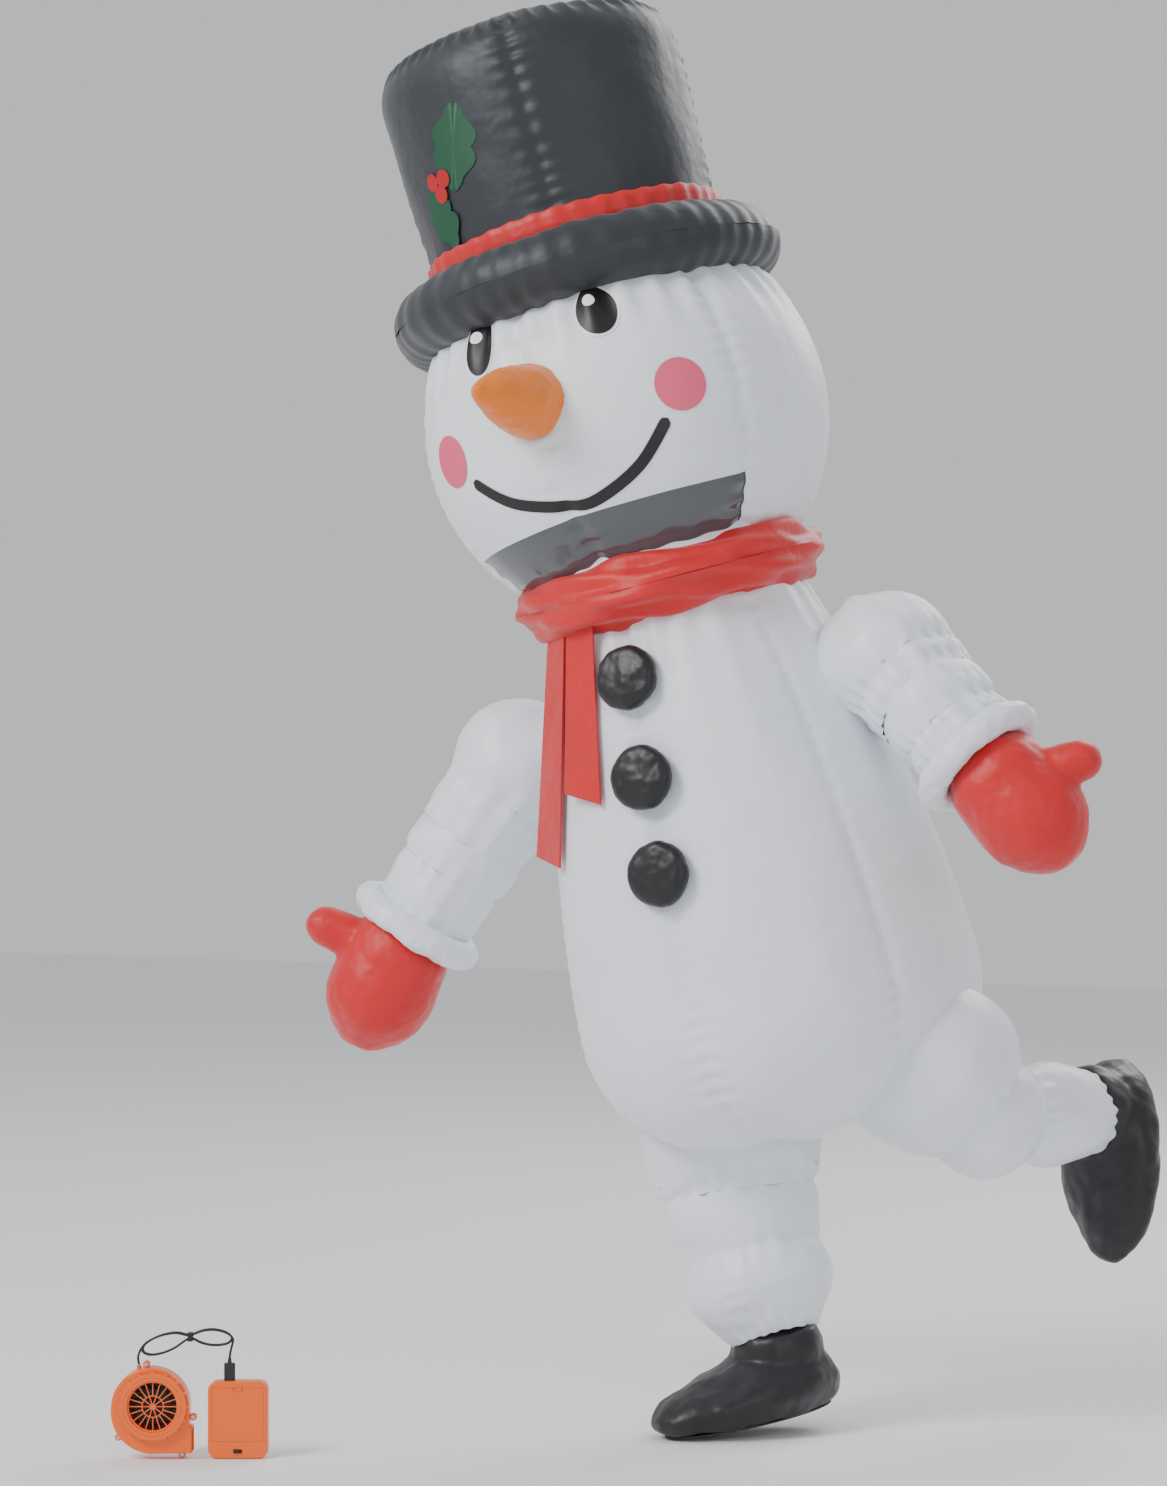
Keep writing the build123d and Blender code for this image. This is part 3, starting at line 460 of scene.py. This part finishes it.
# ---- limbs ----
def limb_frame(start, end):
    run = (end - start).normalized()
    across = run.cross(Vector((0, 1, 0))).normalized()
    back = run.cross(across)
    place = Matrix((across, back, run)).transposed().to_4x4()
    place.translation = start
    return place


INSIDE = 0.002


def limb(name, body, start, end, ball, waist, bulge, end_r, stop, node, seed):
    base = limb_frame(start, end)
    outline = [(ball * math.cos(math.radians(a)), ball * math.sin(math.radians(a)))
               for a in range(-78, waist + 1, 4)]
    neck = outline[-1]
    mid = (bulge, (neck[1] + stop) / 2)
    outline += smooth_line([neck, mid, (end_r, stop)], 60)[1:]

    def stand(angle, share, radius, height):
        far, near = abs(outline[-1][1] - height), abs(height - neck[1])
        ends = bell(far, 0.035) + bell(near, 0.03)
        pleats = 0.0018 * math.sin(angle * 18 + 2 * math.sin(angle * 3 + seed)) * ends
        rings = 0.0012 * math.sin(height * 150 + 2 * math.sin(angle * 2 + seed)) * ends
        swell = Vector((math.sin(angle) * 1.6, math.cos(angle) * 1.6, height * 11 + seed))
        soft = 0.007 * noise.noise(swell)
        seams = [math.radians(100 + 20 * seed), math.radians(280 + 20 * seed)]
        gathers = seam_gather(angle, radius, height, seams, 0.0022, 0.03, 0.022, seed)
        return min(pleats + rings + soft, 0.006) + gathers

    made = turned(name, base, outline[::-1], white_cloth, 150,
                  lambda a, s, r, z: stand(a, s, r, z) - INSIDE)
    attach(made, body)
    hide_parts(node)
    return made


def landing(reach, end_r, ball):
    """How far along a limb its open end meets the next joint's ball."""
    return reach - math.sqrt((ball + 0.0003) ** 2 - (end_r - 0.0016) ** 2)


KNEE_R = {"left": 0.095, "right": 0.120}
KNEE_WAIST = {"left": 46, "right": 30}
SHIN_BULGE = {"left": 0.084, "right": 0.113}
for side in ("left", "right"):
    shoulder, elbow, wrist = (JOINTS[k][side] for k in ("shoulder", "elbow", "wrist"))
    hip, knee, ankle = (JOINTS[k][side] for k in ("hip", "knee", "ankle"))
    reach = (elbow - shoulder).length
    limb(f"upper_sleeve_{side}", f"upper_arm_{side}", shoulder, elbow, 0.105, 32, 0.0907, 0.0836,
         landing(reach, 0.0836, 0.088) + 0.012, f"sleeve_upper_{side}", 1)
    reach = (wrist - elbow).length
    limb(f"lower_sleeve_{side}", f"lower_arm_{side}", elbow, wrist, 0.088, 28, 0.0822, 0.078,
         reach - 0.0823 + 0.01, f"sleeve_lower_{side}", 2)
    reach = (knee - hip).length
    if side == "right":
        limb("upper_leg_right", "thigh_right", hip, knee, 0.138, 28, 0.120, 0.114,
             landing(reach, 0.114, 0.120) + 0.012, "leg_upper_right", 3)
    else:
        rim, ball = 0.1334, 0.0953
        crossing = math.degrees(math.asin((rim ** 2 + reach ** 2 - ball ** 2) / (2 * rim * reach)))
        outline = [(0.135 * math.cos(math.radians(a)), 0.135 * math.sin(math.radians(a)))
                   for a in [-78 + (crossing + 4 + 78) * k / 50 for k in range(51)]]
        thigh = turned("upper_leg_left", limb_frame(hip, knee), outline[::-1], white_cloth, 150,
                       lambda a, s, r, z: 0.003 * math.sin(a * 18) * bell(s, 0.1)
                       + 0.005 * unevenness(a, z, 2, 12) - INSIDE)
        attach(thigh, "thigh_left")
        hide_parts("leg_upper_left")
    reach = (ankle - knee).length
    limb(f"lower_leg_{side}", f"shin_{side}", knee, ankle, KNEE_R[side], KNEE_WAIST[side], SHIN_BULGE[side],
         0.0665, landing(reach, 0.0665, 0.070) + 0.008, f"leg_lower_{side}", 4)


# ---- stuffed pieces, from the part's own solids ----
def stuffed(name, body, node, material, grain=0.004, fold=0.002, folds=30.0):
    """Air-filled cover with softened corners and shallow wrinkles."""
    mesh = nodes[node].data.copy()
    made = bpy.data.objects.new(name, mesh)
    bpy.context.scene.collection.objects.link(made)
    weld = made.modifiers.new("weld", "WELD")
    weld.merge_threshold = 0.0001
    remesh = made.modifiers.new("remesh", "REMESH")
    remesh.mode = "VOXEL"
    remesh.voxel_size = grain
    soften = made.modifiers.new("soften", "SMOOTH")
    soften.iterations = 8
    soften.factor = 0.6
    bpy.context.view_layer.update()
    done = bpy.data.meshes.new_from_object(made.evaluated_get(bpy.context.evaluated_depsgraph_get()))
    made.modifiers.clear()
    made.data = done
    done.materials.clear()
    done.materials.append(material)
    for face in done.polygons:
        face.use_smooth = True
    normals = [v.normal.copy() for v in done.vertices]
    for vertex, normal in zip(done.vertices, normals):
        p = vertex.co
        crease = fold * (noise.noise(p * folds) + 0.5 * noise.noise(p * folds * 2.3))
        vertex.co = p + normal * crease
    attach(made, body)
    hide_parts(node)
    return made


for side in ("left", "right"):
    mitten = stuffed(f"mitten_cover_{side}", f"hand_{side}", f"mitten_{side}", red_cloth)
    stuffed(f"cuff_roll_{side}", f"lower_arm_{side}", f"cuff_{side}", white_cloth,
            0.003, 0.003, 40)
    boot = stuffed(f"boot_cover_{side}", f"foot_{side}", f"boot_{side}", black_cloth,
                   0.004, 0.004, 22)
stuffed("carrot_nose_cover", "head", "carrot_nose", carrot_cloth, 0.003, 0.0025, 30)
stuffed("button_covers", "figure", "coat_buttons", black_cloth, 0.003, 0.002, 40)

# ---- finishes of the hard pieces and the plain fabric ones ----
PLAIN = {
    "neck_band": white_cloth, "scarf_tail_long": red_cloth, "scarf_tail_short": red_cloth,
    "boot_sole_left": sole_sheet, "boot_sole_right": sole_sheet,
    "zip_tape": white_cloth, "zip_slider": black_shell, "fan_port_ring": black_shell,
    "blower_front": orange_shell, "blower_back": orange_shell, "clamp_ring": orange_shell,
    "inlet_grille": orange_shell, "impeller": black_shell, "motor": screw_steel, "housing_screws": screw_steel,
    "battery_case": orange_shell, "battery_lid": orange_shell, "slide_switch": black_shell,
    "battery_cells": cell_wrap, "usb_plug": black_shell, "usb_plug_shell": screw_steel, "hank_tie": black_shell,
}
for label, material in PLAIN.items():
    mesh = nodes[label].data
    mesh.materials.clear()
    mesh.materials.append(material)

# ---- floor, light and camera ----
FLOOR_CORNERS = [(-9, -9, -0.0005), (9, -9, -0.0005), (9, 9, -0.0005), (-9, 9, -0.0005)]
floor = piece("floor", FLOOR_CORNERS, [(0, 1, 2, 3)],
              finish("pale floor", (0.86, 0.86, 0.87), 0.7, mottle=0.0), False)


def soft_light(name, place, aim, size, power):
    lamp = bpy.data.lights.new(name, "AREA")
    lamp.size, lamp.energy = size, power
    made = bpy.data.objects.new(name, lamp)
    made.location = place
    made.rotation_euler = (Vector(aim) - Vector(place)).to_track_quat("-Z", "Y").to_euler()
    bpy.context.scene.collection.objects.link(made)


soft_light("key_light", (-2.2, -4.2, 4.2), (0, 0, 1.1), 2.0, 230)
soft_light("fill_light", (4.0, -3.2, 2.4), (0, 0, 1.1), 3.0, 40)
soft_light("back_light", (0.5, 4.2, 3.8), (0, 0, 1.2), 2.6, 120)
world = bpy.data.worlds.new("pale studio")
bpy.context.scene.world = world
world.use_nodes = True
world.node_tree.nodes["Background"].inputs["Color"].default_value = (0.93, 0.94, 0.96, 1)
world.node_tree.nodes["Background"].inputs["Strength"].default_value = 0.7

lens = bpy.data.cameras.new("camera")
lens.lens = 121.1
lens.shift_x, lens.shift_y = -0.115, -0.076
camera = bpy.data.objects.new("camera", lens)
camera.location = PLACE + Vector((math.sin(TURN), -math.cos(TURN), 0)) * 7.5 + Vector((0, 0, 1.2))
camera.rotation_euler = (math.radians(90), 0, TURN)
bpy.context.scene.collection.objects.link(camera)
bpy.context.scene.camera = camera

# ---- the lead: out of the blower, three turns of a tied hank, and into the plug ----
LEAD_THICK = 0.0035
STAND = Matrix.Translation(Vector((-683, -594, 77)) * MM + PLACE) @ Matrix.Rotation(TURN, 4, "Z")
LEAD_START = (-23, 6, 57)
HANK_MIDDLE = 52
HANK_OVER = [(-13.7, 88.4), (7.6, 100.2), (31.5, 104.8), (44, 101.4), (52, 99.9),
             (60, 103.6), (72, 108), (88, 109), (105.6, 104), (113.6, 96)]
HANK_UNDER = [(106, 87.2), (84, 85), (66, 89.4), (59, 94), (52, 96.1),
              (44, 92.6), (30, 81.6), (12, 74), (-6.5, 70.8), (-18.5, 75.6)]


def lead_route():
    """Control points of the lead's centre line, in the blower's own frame and millimetres."""
    spots = [LEAD_START, (-24.3, 6, 62), (-24.8, 5.6, 68), (-21.6, 4.6, 78)]
    for turn, depth in enumerate((3.7, 0.0, -3.7)):
        wide = 1 + 0.012 * turn
        spots += [(HANK_MIDDLE + (x - HANK_MIDDLE) * wide, depth, z) for x, z in HANK_OVER]
        if turn < 2:
            spots += [(HANK_MIDDLE + (x - HANK_MIDDLE) * wide, depth, z) for x, z in HANK_UNDER[:-1]]
            x, z = HANK_UNDER[-1]
            spots.append((HANK_MIDDLE + (x - HANK_MIDDLE) * wide, depth - 1.8, z + 1.2))
    return spots + [(113.4, -4.3, 88), (111.6, -3.9, 81), (110, -1.2, 75), (109, 0, 67.9)]


def lead_curve():
    line = bpy.data.curves.new("power_lead", "CURVE")
    line.dimensions = "3D"
    line.bevel_depth = LEAD_THICK / 2
    line.bevel_resolution = 3
    line.resolution_u = 6
    line.use_fill_caps = True
    route = lead_route()
    spline = line.splines.new("NURBS")
    spline.points.add(len(route) - 1)
    for point, spot in zip(spline.points, route):
        point.co = (*(STAND @ (Vector(spot) * MM)), 1)
    spline.order_u = 3
    spline.use_endpoint_u = True
    line.materials.append(lead_rubber)
    made = bpy.data.objects.new("power_lead", line)
    bpy.context.scene.collection.objects.link(made)
    return made


lead = lead_curve()
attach(lead, "figure")
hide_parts("cord_fan_lead", "cord_hank", "cord_plug_lead")
